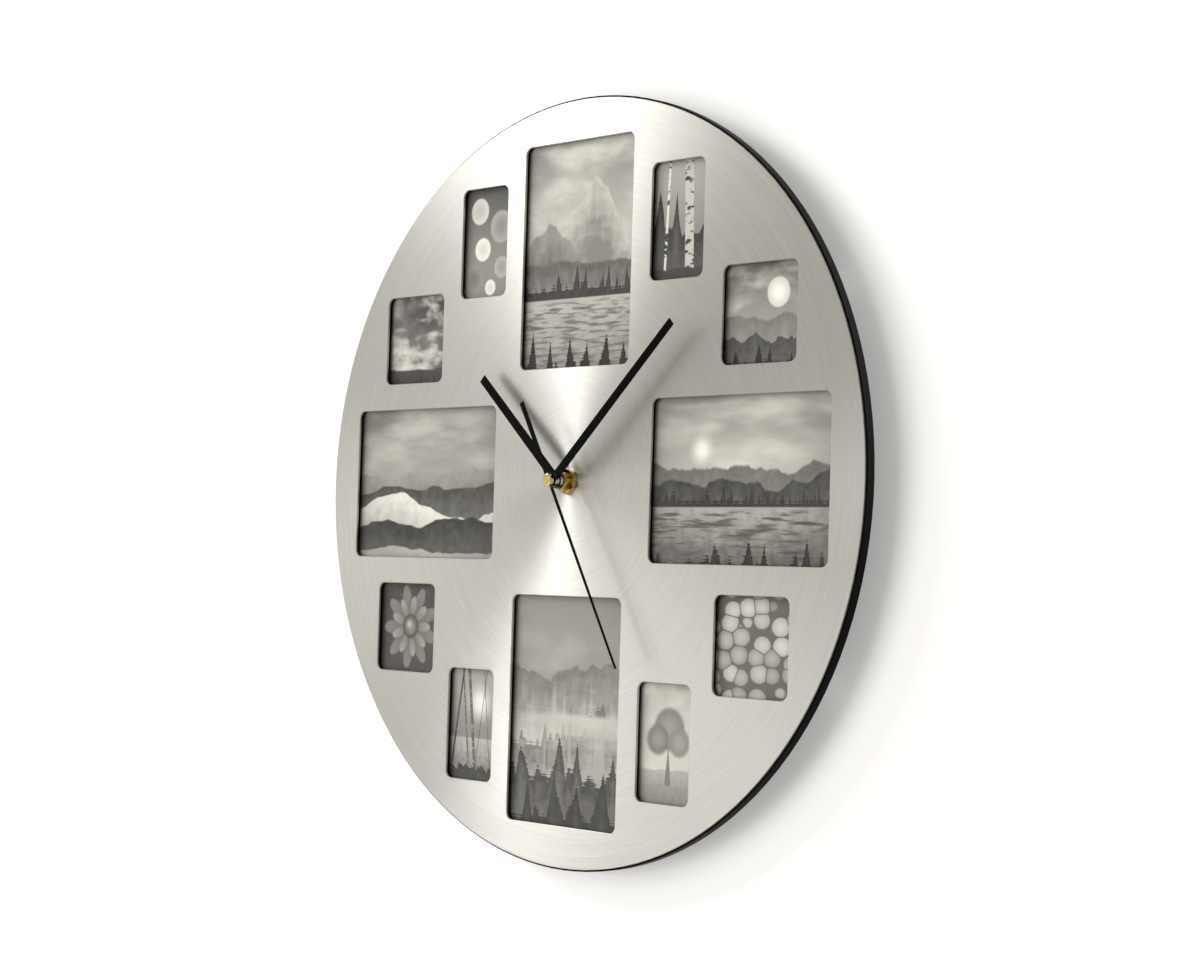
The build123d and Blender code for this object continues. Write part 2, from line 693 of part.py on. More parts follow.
# Battery lying across the bay, and the two contacts at its ends
battery_left = -(battery_length + battery_tip_length) / 2
battery_right = battery_left + battery_length
with BuildPart() as battery:
    with BuildSketch(Plane.YZ.offset(battery_left)):
        with Locations((-battery_depth, battery_z)):
            Circle(battery_radius)
    extrude(amount=battery_length)
    with BuildSketch(Plane.YZ.offset(battery_right)):
        with Locations((-battery_depth, battery_z)):
            Circle(battery_tip_radius)
    extrude(amount=battery_tip_length)
battery.part.label = "battery"
export_step(battery.part, "parts/battery.step")

plus_reach = battery_right + battery_tip_length
minus_reach = -battery_left
for name, side, reach in (("contact_plus", 1, plus_reach), ("contact_minus", -1, minus_reach)):
    plate_face = case_inner - contact_thickness
    with BuildPart() as contact:
        with Locations((side * (case_inner - contact_thickness / 2), -battery_depth, battery_z)):
            Box(contact_thickness, contact_height, contact_width)
        with Locations((side * (reach + plate_face) / 2, -battery_depth, battery_z)):
            Cylinder(battery_tip_radius, plate_face - reach, rotation=(0, 90, 0))
    contact.part.label = name
    export_step(contact.part, f"parts/{name}.step")
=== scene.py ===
# %% [markdown]
# # A photo frame wall clock, dressed in Blender
# The clock is a thin spun aluminium disc with twelve picture windows, black baton hands and a stock
# quartz movement behind it. Its solids come ready made, so this lesson is about finishes: brushed metal,
# brass, black paint, clear panes and twelve printed pictures, each made from shader nodes.

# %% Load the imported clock
import math

import bpy
import numpy as np
from mathutils import Matrix, Vector


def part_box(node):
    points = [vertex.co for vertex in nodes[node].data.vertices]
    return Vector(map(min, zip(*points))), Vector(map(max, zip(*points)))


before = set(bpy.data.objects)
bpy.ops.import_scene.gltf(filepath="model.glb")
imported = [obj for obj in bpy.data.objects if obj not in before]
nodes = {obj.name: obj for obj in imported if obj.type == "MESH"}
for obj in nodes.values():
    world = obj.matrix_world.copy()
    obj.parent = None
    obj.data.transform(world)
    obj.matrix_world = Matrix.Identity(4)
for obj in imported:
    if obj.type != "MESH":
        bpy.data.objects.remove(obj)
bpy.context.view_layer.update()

# %% [markdown]
# ## Camera
# The photograph looks at the disc from the right, almost level, with a long lens. Fitting the rim and the
# window corners of a flat disc gives the angles, the distance and the focal length. A small lens shift puts
# the disc left of the middle of the picture, which keeps the perspective that the fit found.

# %% Camera
azimuth = math.radians(47.29)
elevation = math.radians(-2.16)
roll = math.radians(1.72)
camera_distance = 1.093
face_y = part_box("front_plate")[0].y
outward = Vector((
    math.sin(azimuth) * math.cos(elevation),
    -math.cos(azimuth) * math.cos(elevation),
    math.sin(elevation)))
level_right = Vector((0, 0, 1)).cross(outward).normalized()
level_up = outward.cross(level_right)
right = math.cos(roll) * level_right + math.sin(roll) * level_up
up = math.cos(roll) * level_up - math.sin(roll) * level_right
camera_data = bpy.data.cameras.new("photo_camera")
camera_data.sensor_width = 36.0
camera_data.lens = 72.41
camera_data.shift_x = 0.0257
camera_data.shift_y = 0.0012
camera_data.clip_start = 0.01
camera = bpy.data.objects.new("photo_camera", camera_data)
camera_place = Matrix.Translation(Vector((0, face_y, 0)) + outward * camera_distance)
camera_turn = Matrix((right, up, outward)).transposed().to_4x4()
camera.matrix_world = camera_place @ camera_turn
bpy.context.scene.collection.objects.link(camera)
bpy.context.scene.camera = camera
bpy.context.scene.view_settings.view_transform = "Standard"
print("camera at", [round(value, 3) for value in camera.location])

# %% [markdown]
# ## Helpers that add nodes
# A shader is a graph, and writing each node on four lines hides what it does. `put` makes a node and fills
# its sockets with values or links in one call, and the others do the same for the nodes that come back most
# often. Noise rarely leaves the range from 0.3 to 0.7, so `noise_ramp` stretches just that part.

# %% Helpers that add nodes
NOISE_LOW = 0.3
NOISE_HIGH = 0.7


def fill(tree, node, sockets):
    """Sets each named socket to a value, or links it to another node's output."""
    for name, value in sockets.items():
        if isinstance(value, bpy.types.NodeSocket):
            tree.links.new(value, node.inputs[name])
        else:
            node.inputs[name].default_value = value


def put(tree, kind, sockets=None, **settings):
    """Adds a node, applies its settings and fills its sockets."""
    node = tree.nodes.new(kind)
    for name, value in settings.items():
        setattr(node, name, value)
    fill(tree, node, sockets or {})
    return node


def calc(tree, operation, first, second=0.0, clamp=False):
    """One arithmetic step on two values; returns the result's socket."""
    return put(tree, "ShaderNodeMath", {0: first, 1: second}, operation=operation, use_clamp=clamp).outputs[0]


def vector(tree, operation, sockets, output="Vector"):
    """One arithmetic step on vectors; LENGTH has its result in the output Value."""
    return put(tree, "ShaderNodeVectorMath", sockets, operation=operation).outputs[output]


def axes_of(tree, place):
    """The X, Y and Z of a place, by name."""
    return put(tree, "ShaderNodeSeparateXYZ", {"Vector": place}).outputs


def ramp(tree, value, low, high, start=0.0, end=1.0):
    """Carries a value smoothly from start to end as it goes from low to high."""
    limits = {"Value": value, "From Min": low, "From Max": high, "To Min": start, "To Max": end}
    node = put(tree, "ShaderNodeMapRange", limits, interpolation_type="SMOOTHSTEP", clamp=True)
    return node.outputs["Result"]


def noise(tree, place, scale, detail, roughness=0.5):
    """Cloudy noise in space, from 0 to 1."""
    sockets = {"Vector": place, "Scale": scale, "Detail": detail, "Roughness": roughness}
    return put(tree, "ShaderNodeTexNoise", sockets).outputs[0]


def noise_ramp(tree, value, start=0.0, end=1.0):
    """Carries the usual range of noise smoothly from start to end."""
    return ramp(tree, value, NOISE_LOW, NOISE_HIGH, start, end)


def blend(tree, share, first, second):
    """Mixes two colours by a share from 0 to 1."""
    return put(tree, "ShaderNodeMix", {"Factor": share, 6: first, 7: second}, data_type="RGBA").outputs[2]


print("node helpers ready")

# %% [markdown]
# ## Helpers for groups and materials
# A node group is a shader's function: it has inputs, outputs and a tree of its own. `new_group` makes an
# empty one and `use` calls it. `new_finish` starts a material with a Principled shader and hands out Object
# coordinates, which stay with a piece when it turns.

# %% Helpers for groups and materials


def new_group(name, inputs, outputs):
    """An empty group with float inputs, a vector where the default is None, and float outputs."""
    tree = bpy.data.node_groups.new(name, "ShaderNodeTree")
    for label, default in inputs.items():
        kind = "NodeSocketVector" if default is None else "NodeSocketFloat"
        socket = tree.interface.new_socket(name=label, in_out="INPUT", socket_type=kind)
        if default is not None:
            socket.default_value = default
    for label in outputs:
        tree.interface.new_socket(name=label, in_out="OUTPUT", socket_type="NodeSocketFloat")
    return tree, put(tree, "NodeGroupInput").outputs, put(tree, "NodeGroupOutput")


def use(tree, group, sockets, output):
    """Places a node group and returns one of its outputs."""
    return put(tree, "ShaderNodeGroup", sockets, node_tree=group).outputs[output]


def new_finish(name):
    """A new material, with its tree, its Principled shader and its Object coordinates."""
    material = bpy.data.materials.new(name)
    material.use_nodes = True
    tree = material.node_tree
    tree.nodes.clear()
    shader = put(tree, "ShaderNodeBsdfPrincipled")
    put(tree, "ShaderNodeOutputMaterial", {"Surface": shader.outputs[0]})
    place = put(tree, "ShaderNodeTexCoord").outputs["Object"]
    return material, tree, shader, place


def bump(tree, shader, height, strength, depth):
    """Raises a surface by a height pattern; depth is the full height in metres."""
    node = put(tree, "ShaderNodeBump", {"Height": height, "Strength": strength, "Distance": depth})
    fill(tree, shader, {"Normal": node.outputs[0]})


def dress(material, *names):
    """Gives solids their finish."""
    for name in names:
        slots = nodes[name].data.materials
        slots.clear()
        slots.append(material)


print("material helpers ready")

# %% [markdown]
# ## Shared surface effects
# Three effects come back on many pieces, so each is a node group. Spun metal carries rings round the hand
# axis: noise that is quick along the distance from that axis and slow round it, so that each ring breaks up
# into arcs. Moulded plastic has a fine grain, and every real surface is a little uneven in tone.

# %% Surface groups


def off_axis(tree, place, operation, output):
    """LENGTH gives the distance from the hand axis as Value, NORMALIZE the way straight out as Vector."""
    flat = vector(tree, "MULTIPLY", {0: place, 1: (1, 0, 1)})
    return vector(tree, operation, {0: flat}, output)


ring_inputs = {"Place": None, "Scale": 800.0, "Seed": 0.0, "Breaks": 1.0}
spun_rings, given, end = new_group("spun_rings", ring_inputs, ["Lines"])
tree = spun_rings
ring_radius = off_axis(tree, given["Place"], "LENGTH", "Value")
ring_step = calc(tree, "ADD", calc(tree, "MULTIPLY", ring_radius, given["Scale"]), given["Seed"])
ring_way = off_axis(tree, given["Place"], "NORMALIZE", "Vector")
ring_bend = vector(tree, "SCALE", {0: ring_way, "Scale": given["Breaks"]})
ring_lift = put(tree, "ShaderNodeCombineXYZ", {"Y": ring_step}).outputs[0]
ring_place = vector(tree, "ADD", {0: ring_bend, 1: ring_lift})
fill(tree, end, {"Lines": noise(tree, ring_place, scale=1.0, detail=3.0, roughness=0.7)})

mould_grain, given, end = new_group("mould_grain", {"Place": None, "Scale": 3000.0}, ["Height"])
fill(mould_grain, end, {"Height": noise(mould_grain, given["Place"], given["Scale"], detail=2.0)})

patch_inputs = {"Place": None, "Scale": 30.0, "Low": 0.0, "High": 1.0}
soft_patches, given, end = new_group("soft_patches", patch_inputs, ["Value"])
patch_limits = {
    "Value": noise(soft_patches, given["Place"], given["Scale"], detail=4.0),
    "From Min": NOISE_LOW, "From Max": NOISE_HIGH, "To Min": given["Low"], "To Max": given["High"]}
fill(soft_patches, end, {"Value": put(soft_patches, "ShaderNodeMapRange", patch_limits).outputs["Result"]})
print("surface groups:", spun_rings.name, mould_grain.name, soft_patches.name)

# %% [markdown]
# ## Calling the surface effects
# A group node wants its inputs by name each time. Three short functions fill them in, so that a finish below
# reads as a list of what the surface has: rings, grain or patches.

# %% Calling the surface effects


def rings(tree, place, scale, seed, breaks=1.0):
    """Lines round the hand axis; more breaks make shorter arcs."""
    return use(tree, spun_rings, {"Place": place, "Scale": scale, "Seed": seed, "Breaks": breaks}, "Lines")


def grain(tree, place, scale):
    """The fine uneven height of a moulded or painted surface."""
    return use(tree, mould_grain, {"Place": place, "Scale": scale}, "Height")


def patches(tree, place, scale, low=0.0, high=1.0):
    """Soft patches between two values."""
    return use(tree, soft_patches, {"Place": place, "Scale": scale, "Low": low, "High": high}, "Value")


print("surface effects: 3")

# %% [markdown]
# ## The spun aluminium face
# The disc was brushed while it turned, so its scratches are rings round the middle. Such a surface mirrors
# light sharply along a scratch and smears it across, which draws the bright wedge from the hub to the rim.
# Anisotropic gloss does this when the tangent, the way in which it spreads light most, points straight out
# from the hand axis. Fine rings in tone, roughness and height stay visible up close.

# %% Spun aluminium
ring_dark = (0.60, 0.589, 0.553, 1)
ring_light = (0.70, 0.687, 0.645, 1)
tone_limits = (0.32, 0.68)
fine_share = 0.6
broad_share = 0.4
spun_metal, tree, shader, place = new_finish("spun_aluminium")
fine_rings = calc(tree, "MULTIPLY", rings(tree, place, scale=2600.0, seed=3.0, breaks=2.5), fine_share)
broad_rings = calc(tree, "MULTIPLY", rings(tree, place, scale=1300.0, seed=11.0, breaks=4.0), broad_share)
both_rings = calc(tree, "ADD", fine_rings, broad_rings)
uneven_rings = calc(tree, "ADD", both_rings, patches(tree, place, scale=18.0, low=-0.02, high=0.02))
fill(tree, shader, {
    "Base Color": blend(tree, ramp(tree, uneven_rings, *tone_limits), ring_dark, ring_light),
    "Roughness": noise_ramp(tree, both_rings, 0.38, 0.46),
    "Metallic": 0.84,
    "Anisotropic": 0.85,
    "Tangent": off_axis(tree, place, "NORMALIZE", "Vector")})
bump(tree, shader, both_rings, strength=0.07, depth=0.00005)
dress(spun_metal, "front_plate")
print("face finish:", spun_metal.name)

# %% [markdown]
# ## Black plastics
# The frame body, the back cover and the movement's case are moulded in black. They differ in how coarse
# the mould's texture is, so one function makes all three from the same grain and patch groups.

# %% Black plastics


def moulded_black(name, level, gloss, roughness, grain_scale, grain_depth):
    """Black moulded plastic: a dark tone in soft patches, with grain in its height and its gloss."""
    material, tree, shader, place = new_finish(name)
    dark = (level * 0.8, level * 0.8, level * 0.82, 1)
    light = (level * 1.25, level * 1.25, level * 1.3, 1)
    texture = grain(tree, place, grain_scale)
    fill(tree, shader, {
        "Base Color": blend(tree, patches(tree, place, scale=45.0), dark, light),
        "Roughness": noise_ramp(tree, texture, roughness - 0.06, roughness + 0.08),
        "Specular IOR Level": gloss})
    bump(tree, shader, texture, strength=0.35, depth=grain_depth)
    return material


body_black = moulded_black(
    "satin_black_body", level=0.002, gloss=0.03, roughness=0.42, grain_scale=2600.0, grain_depth=0.00006)
dress(body_black, "frame_body")
board_black = moulded_black(
    "grained_back_board", level=0.026, gloss=0.25, roughness=0.55, grain_scale=900.0, grain_depth=0.00018)
dress(board_black, "back_cover")
case_black = moulded_black(
    "movement_black", level=0.020, gloss=0.25, roughness=0.48, grain_scale=1700.0, grain_depth=0.0001)
dress(case_black, "movement_case", "movement_cover", "setting_knob")
print("black plastics:", body_black.name, board_black.name, case_black.name)

# %% [markdown]
# ## Painted hands
# The hands are stamped from thin sheet and painted satin black. The hour and minute hands are riveted to
# small collars, which show bare metal in the photograph. Collar and blade are one solid, so a thin mask at
# the collar's radius tells them apart. Steel that curves away from the eye mirrors the dark hands, so the
# Layer Weight node darkens the collar's colour there. This darkening is a painted reflection.

# %% Painted hands
hour_collar_radius = 0.0035
minute_collar_radius = 0.0029
collar_outside = 0.00009
collar_inside = 0.00005
paint_dark = (0.0015, 0.0014, 0.0012, 1)
paint_light = (0.003, 0.0028, 0.0024, 1)
bare_metal = (0.85, 0.85, 0.87, 1)
painted_dark_reflection = (0.008, 0.008, 0.008, 1)
turn_limits = (0.27, 0.44)


def on_tube(tree, reach, radius):
    """1 on a thin tube round the hand axis and 0 off it."""
    miss = calc(tree, "ABSOLUTE", calc(tree, "SUBTRACT", reach, radius))
    return ramp(tree, miss, collar_outside, collar_inside)


hand_paint, tree, shader, place = new_finish("satin_black_paint")
hand_reach = off_axis(tree, place, "LENGTH", "Value")
hour_collar = on_tube(tree, hand_reach, hour_collar_radius)
minute_collar = on_tube(tree, hand_reach, minute_collar_radius)
collar_share = calc(tree, "MAXIMUM", hour_collar, minute_collar)
turned_away = put(tree, "ShaderNodeLayerWeight", {"Blend": 0.5}).outputs["Facing"]
# Painted reflection: the collar's colour turns dark where it curves away from the eye.
collar_colour = blend(tree, ramp(tree, turned_away, *turn_limits), bare_metal, painted_dark_reflection)
paint_colour = blend(tree, patches(tree, place, scale=160.0), paint_dark, paint_light)
peel = grain(tree, place, scale=1400.0)
fill(tree, shader, {
    "Base Color": blend(tree, collar_share, paint_colour, collar_colour),
    "Roughness": noise_ramp(tree, peel, 0.20, 0.28),
    "Metallic": collar_share,
    "Specular IOR Level": 0.05})
bump(tree, shader, peel, strength=0.2, depth=0.00003)
dress(hand_paint, "hour_hand", "minute_hand", "second_hand")
print("hand finish:", hand_paint.name)

# %% [markdown]
# ## Turned brass
# The nut, the bush and the cap of the second hand are brass that was turned on a lathe, so they take the
# ring group as well. In the photograph the cap is bright and the nut near the plate is darker, where it sits
# in the hub's own shade and mirrors the dark plate. That is painted shade: the brass colour is darker near
# the plate and lighter with the distance from it, and random light and dark patches break it up.

# %% Turned brass
# The dark brass colour serves as the painted shade near the plate and as the tone of the lathe grooves.
dark_brass = (0.24, 0.075, 0.004, 1)
bright_brass = (1.0, 0.86, 0.34, 1)
nut_lit_share = 0.46
turned_brass, tree, shader, place = new_finish("turned_brass")
nut_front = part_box("hex_nut")[0].y
cap_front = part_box("second_hand_hub")[0].y
# Painted shade: the brass colour darkens from the cap towards the plate, and random light and dark patches
# are added.
plate_shade_ramp = ramp(tree, axes_of(tree, place)["Y"], nut_front, cap_front, nut_lit_share, 1.0)
brass_patches = patches(tree, place, scale=330.0, low=-0.42, high=0.46)
shade_and_patches = calc(tree, "ADD", plate_shade_ramp, brass_patches, clamp=True)
lathe_rings = rings(tree, place, scale=2200.0, seed=5.0)
ring_shade = noise_ramp(tree, lathe_rings, 0.25, 0.0)
fill(tree, shader, {
    "Base Color": blend(tree, ring_shade, blend(tree, shade_and_patches, dark_brass, bright_brass), dark_brass),
    "Roughness": noise_ramp(tree, lathe_rings, 0.14, 0.06),
    "Metallic": 1.0})
bump(tree, shader, lathe_rings, strength=0.15, depth=0.00004)
dress(turned_brass, "hex_nut", "brass_washer", "threaded_bush", "second_hand_hub", "minute_pipe")
print("brass finish:", turned_brass.name)

# %% [markdown]
# ## Plated metals
# The buttons, the contacts and the motor's iron are plain sheet metal, and the coil is copper wire under
# enamel. None of them is brushed one way, so a faint mottle in tone and gloss is enough, and one function
# makes all three.

# %% Plated metals


def worked_metal(name, dark, light, roughness):
    """Plain metal whose tone and gloss vary in a faint mottle."""
    material, tree, shader, place = new_finish(name)
    mottle = grain(tree, place, scale=500.0)
    fill(tree, shader, {
        "Base Color": blend(tree, noise_ramp(tree, mottle), (*dark, 1), (*light, 1)),
        "Roughness": noise_ramp(tree, mottle, roughness + 0.06, roughness - 0.04),
        "Metallic": 1.0})
    bump(tree, shader, mottle, strength=0.15, depth=0.00004)
    return material


zinc_plate = worked_metal(
    "zinc_plated_steel", dark=(0.50, 0.50, 0.50), light=(0.66, 0.66, 0.65), roughness=0.36)
buttons = [f"turn_button_{number}" for number in range(1, 7)]
dress(zinc_plate, "turn_button_screws", "contact_plus", "contact_minus", *buttons)
motor_iron = worked_metal(
    "motor_iron", dark=(0.36, 0.36, 0.37), light=(0.48, 0.48, 0.49), roughness=0.42)
dress(motor_iron, "stator", "rotor", "quartz_crystal")
coil_wire = worked_metal(
    "enamelled_copper", dark=(0.42, 0.15, 0.06), light=(0.62, 0.27, 0.12), roughness=0.30)
dress(coil_wire, "drive_coil")
print("metals:", zinc_plate.name, motor_iron.name, coil_wire.name)

# %% [markdown]
# ## Gears and circuit board
# Inside the closed case the wheels are pale moulded plastic and the board has a green lacquer. Nobody sees
# them, so a tone in soft patches is all they get, and the wheels a little grain.

# %% Gears and circuit board
gear_dark = (0.66, 0.64, 0.57, 1)
gear_light = (0.76, 0.74, 0.67, 1)
gear_plastic, tree, shader, place = new_finish("pale_gear_plastic")
fill(tree, shader, {
    "Base Color": blend(tree, patches(tree, place, scale=300.0), gear_dark, gear_light),
    "Roughness": 0.45})
bump(tree, shader, grain(tree, place, scale=4000.0), strength=0.1, depth=0.00002)
wheels = ["hour_wheel", "centre_wheel", "third_wheel", "seconds_wheel", "step_wheel", "motion_wheel"]
dress(gear_plastic, *wheels)

board_dark = (0.020, 0.12, 0.05, 1)
board_light = (0.045, 0.20, 0.09, 1)
board_lacquer, tree, shader, place = new_finish("green_board")
fill(tree, shader, {
    "Base Color": blend(tree, patches(tree, place, scale=250.0), board_dark, board_light),
    "Roughness": 0.35})
dress(board_lacquer, "circuit_board")
print("inner finishes:", gear_plastic.name, board_lacquer.name)

# %% [markdown]
# ## Battery
# The cell is a plain two-tone sleeve: dark along most of its length, with a copper band at the plus end and
# bare metal on the tip. It lies along X, so steps in that coordinate draw the bands, and the shader needs
# no picture to wrap round it.

# %% Battery sleeve
copper_step = (0.0125, 0.0127)
tip_step = (0.0242, 0.0244)
sleeve_dark = (0.016, 0.016, 0.018, 1)
sleeve_copper = (0.55, 0.27, 0.12, 1)
tip_metal = (0.62, 0.62, 0.62, 1)
battery_sleeve, tree, shader, place = new_finish("battery_sleeve")
along = axes_of(tree, place)["X"]
copper_share = ramp(tree, along, *copper_step)
sleeve_colour = blend(tree, copper_share, sleeve_dark, sleeve_copper)
wrinkle = grain(tree, place, scale=350.0)
fill(tree, shader, {
    "Base Color": blend(tree, ramp(tree, along, *tip_step), sleeve_colour, tip_metal),
    "Metallic": ramp(tree, copper_share, 0.0, 1.0, 0.0, 0.9),
    "Roughness": noise_ramp(tree, wrinkle, 0.24, 0.34)})
bump(tree, shader, wrinkle, strength=0.15, depth=0.00005)
dress(battery_sleeve, "battery")
print("battery finish:", battery_sleeve.name)

# %% [markdown]
# ## Clear panes
# Each picture sits behind a thin clear sheet, which gives the photograph's prints a faint pale haze. A true
# glass shader would darken the print under it, because light paths through glass are dear. A nearly
# see-through gloss sheet lets the print keep its tones and still takes reflections.

# %% Panes
haze_dark = (0.80, 0.80, 0.79, 1)
haze_light = (0.92, 0.92, 0.91, 1)
clear_sheet, tree, shader, place = new_finish("clear_sheet")
haze = patches(tree, place, scale=25.0)
fill(tree, shader, {
    "Base Color": blend(tree, haze, haze_dark, haze_light),
    "Alpha": ramp(tree, haze, 0.0, 1.0, 0.01, 0.02),
    "Roughness": 0.10,
    "Specular IOR Level": 0.25})
dress(clear_sheet, *[f"window_pane_{number:02d}" for number in range(1, 13)])
print("pane finish:", clear_sheet.name)

# %% [markdown]
# ## Drawing groups: ridges
# The windows hold prints, and these are quiet nature scenes in warm grey, drawn with a few masks. Every
# mask is a group that works on picture coordinates, in which the shorter side of a print runs from -1 to 1,
# and puts out a mask and a shade, so that a hill can sink into mist and a stone can look round. A ridge is
# all that lies below a noisy line, and a slope on both sides of a peak makes it a mountain.

# %% Ridges
fade_break = 1.4


def noisy_line(tree, x, scale, seed, detail):
    """One-dimensional noise from -1 to 1 along the picture's width."""
    step = calc(tree, "ADD", calc(tree, "MULTIPLY", x, scale), seed)
    sockets = {"W": step, "Scale": 1.0, "Detail": detail}
    wave = put(tree, "ShaderNodeTexNoise", sockets, noise_dimensions="1D").outputs[0]
    return calc(tree, "MULTIPLY", calc(tree, "SUBTRACT", wave, 0.5), 2.0)


def under_line(tree, given, end, line, z):
    """Mask below a line with a soft edge; the shade grows with the depth, broken up by fine noise."""
    depth = calc(tree, "SUBTRACT", line, z)
    share = ramp(tree, calc(tree, "DIVIDE", depth, given["Soft"]), -1.0, 1.0)
    rough = noise(tree, given["Place"], scale=7.0, detail=6.0)
    broken = calc(tree, "MULTIPLY", calc(tree, "SUBTRACT", rough, 0.5), fade_break)
    fade = calc(tree, "ADD", calc(tree, "DIVIDE", depth, given["Fade"]), broken, clamp=True)
    fill(tree, end, {"Mask": share, "Shade": fade})


ridge_inputs = {"Place": None, "Height": 0.0, "Swing": 0.3, "Scale": 1.0, "Seed": 0.0, "Soft": 0.02,
                "Fade": 0.6, "Slope": 0.0, "Peak": 0.0}
ridge_mask, given, end = new_group("ridge_mask", ridge_inputs, ["Mask", "Shade"])
tree = ridge_mask
apart = axes_of(tree, given["Place"])
ridge_noise = noisy_line(tree, apart["X"], given["Scale"], given["Seed"], detail=6.0)
ridge_wave = calc(tree, "MULTIPLY", ridge_noise, given["Swing"])
ridge_side = calc(tree, "ABSOLUTE", calc(tree, "SUBTRACT", apart["X"], given["Peak"]))
ridge_fall = calc(tree, "MULTIPLY", ridge_side, given["Slope"])
ridge_line = calc(tree, "SUBTRACT", calc(tree, "ADD", ridge_wave, given["Height"]), ridge_fall)
under_line(tree, given, end, ridge_line, apart["Z"])
print("ridge group:", ridge_mask.name)

# %% [markdown]
# ## Drawing groups: pines
# A wood is a line of cones on uneven ground. White noise gives each cone its own height, a slow noise pushes
# the cones out of step, and a quick one along the height frays them into twigs.

# %% Pines
lowest_pine = 0.15
pine_unevenness = 0.8
twig_scale = 36.0
twig_reach = 0.10
ground_scale = 0.9
pine_inputs = {"Place": None, "Height": -0.5, "Swing": 0.15, "Scale": 6.0, "Seed": 0.0, "Soft": 0.02,
               "Fade": 0.5, "Tall": 0.4}
pine_mask, given, end = new_group("pine_mask", pine_inputs, ["Mask", "Shade"])
tree = pine_mask
apart = axes_of(tree, given["Place"])
pine_noise = noisy_line(tree, apart["X"], given["Scale"], given["Seed"], detail=1.0)
pine_even = calc(tree, "ADD", calc(tree, "MULTIPLY", apart["X"], given["Scale"]), given["Seed"])
pine_step = calc(tree, "ADD", pine_even, calc(tree, "MULTIPLY", pine_noise, pine_unevenness))
pine_number = calc(tree, "FLOOR", pine_step)
pine_draw = put(tree, "ShaderNodeTexWhiteNoise", {"W": pine_number}, noise_dimensions="1D").outputs["Value"]
pine_share = calc(tree, "ADD", calc(tree, "MULTIPLY", pine_draw, 1.0 - lowest_pine), lowest_pine)
pine_size = calc(tree, "MULTIPLY", pine_share, given["Tall"])
pine_away = calc(tree, "ABSOLUTE", calc(tree, "SUBTRACT", calc(tree, "FRACT", pine_step), 0.5))
pine_cone = calc(tree, "SUBTRACT", 1.0, calc(tree, "MULTIPLY", pine_away, 2.0))
pine_top = calc(tree, "MULTIPLY", pine_cone, pine_size)
twig_noise = noisy_line(tree, apart["Z"], twig_scale, given["Seed"], detail=2.0)
pine_twig = calc(tree, "MULTIPLY", twig_noise, twig_reach)
ground_noise = noisy_line(tree, apart["X"], ground_scale, given["Seed"], detail=3.0)
pine_ground = calc(tree, "MULTIPLY", ground_noise, given["Swing"])
pine_line = calc(tree, "ADD", pine_top, calc(tree, "ADD", pine_ground, pine_twig))
under_line(tree, given, end, calc(tree, "ADD", pine_line, given["Height"]), apart["Z"])
print("pine group:", pine_mask.name)

# %% [markdown]
# ## Drawing groups: spots and petals
# Suns, crowns of trees and lights out of focus are round spots, and a flower is a spot whose radius swings
# with the angle. Both need the distance from a centre, so they share two functions for it.

# %% Spots and petals
soft_edge = 0.03


def from_centre(tree, given):
    """How far a picture point lies across and above the centre X, Z."""
    apart = axes_of(tree, given["Place"])
    return calc(tree, "SUBTRACT", apart["X"], given["X"]), calc(tree, "SUBTRACT", apart["Z"], given["Z"])


def distance(tree, across, rise):
    """Length of the way across and up."""
    square = calc(tree, "ADD", calc(tree, "MULTIPLY", across, across), calc(tree, "MULTIPLY", rise, rise))
    return calc(tree, "SQRT", square)


spot_inputs = {"Place": None, "X": 0.0, "Z": 0.0, "Radius": 0.3, "Soft": 0.03}
spot_mask, given, end = new_group("spot_mask", spot_inputs, ["Mask", "Shade"])
tree = spot_mask
spot_reach = distance(tree, *from_centre(tree, given))
spot_inside = calc(tree, "DIVIDE", calc(tree, "SUBTRACT", given["Radius"], spot_reach), given["Soft"])
spot_share = calc(tree, "DIVIDE", spot_reach, given["Radius"])
fill(tree, end, {"Mask": ramp(tree, spot_inside, -1.0, 1.0), "Shade": ramp(tree, spot_share, 0.1, 1.0)})

petal_inputs = {"Place": None, "X": 0.0, "Z": 0.0, "Radius": 0.7, "Count": 8.0, "Notch": 0.5, "Turn": 0.0}
petal_mask, given, end = new_group("petal_mask", petal_inputs, ["Mask", "Shade"])
tree = petal_mask
petal_across, petal_rise = from_centre(tree, given)
petal_reach = distance(tree, petal_across, petal_rise)
petal_angle = calc(tree, "ARCTAN2", petal_rise, petal_across)
petal_turn = calc(tree, "MULTIPLY", calc(tree, "ADD", petal_angle, given["Turn"]), given["Count"])
petal_wave = calc(tree, "ABSOLUTE", calc(tree, "COSINE", calc(tree, "MULTIPLY", petal_turn, 0.5)))
petal_drop = calc(tree, "MULTIPLY", calc(tree, "SUBTRACT", petal_wave, 1.0), given["Notch"])
petal_limit = calc(tree, "MULTIPLY", calc(tree, "ADD", petal_drop, 1.0), given["Radius"])
petal_inside = calc(tree, "SUBTRACT", petal_limit, petal_reach)
petal_depth = calc(tree, "DIVIDE", petal_reach, petal_limit)
fill(tree, end, {
    "Mask": ramp(tree, petal_inside, -soft_edge, soft_edge),
    "Shade": calc(tree, "MULTIPLY", petal_depth, petal_wave, clamp=True)})
print("round groups:", spot_mask.name, petal_mask.name)

# %% [markdown]
# ## Drawing groups: bars
# Tree trunks are upright bars: all places where a noisy line across the picture is high. Adding a share of
# the height to the width makes them lean, and noise that is quick along the height gives flecks of bark.

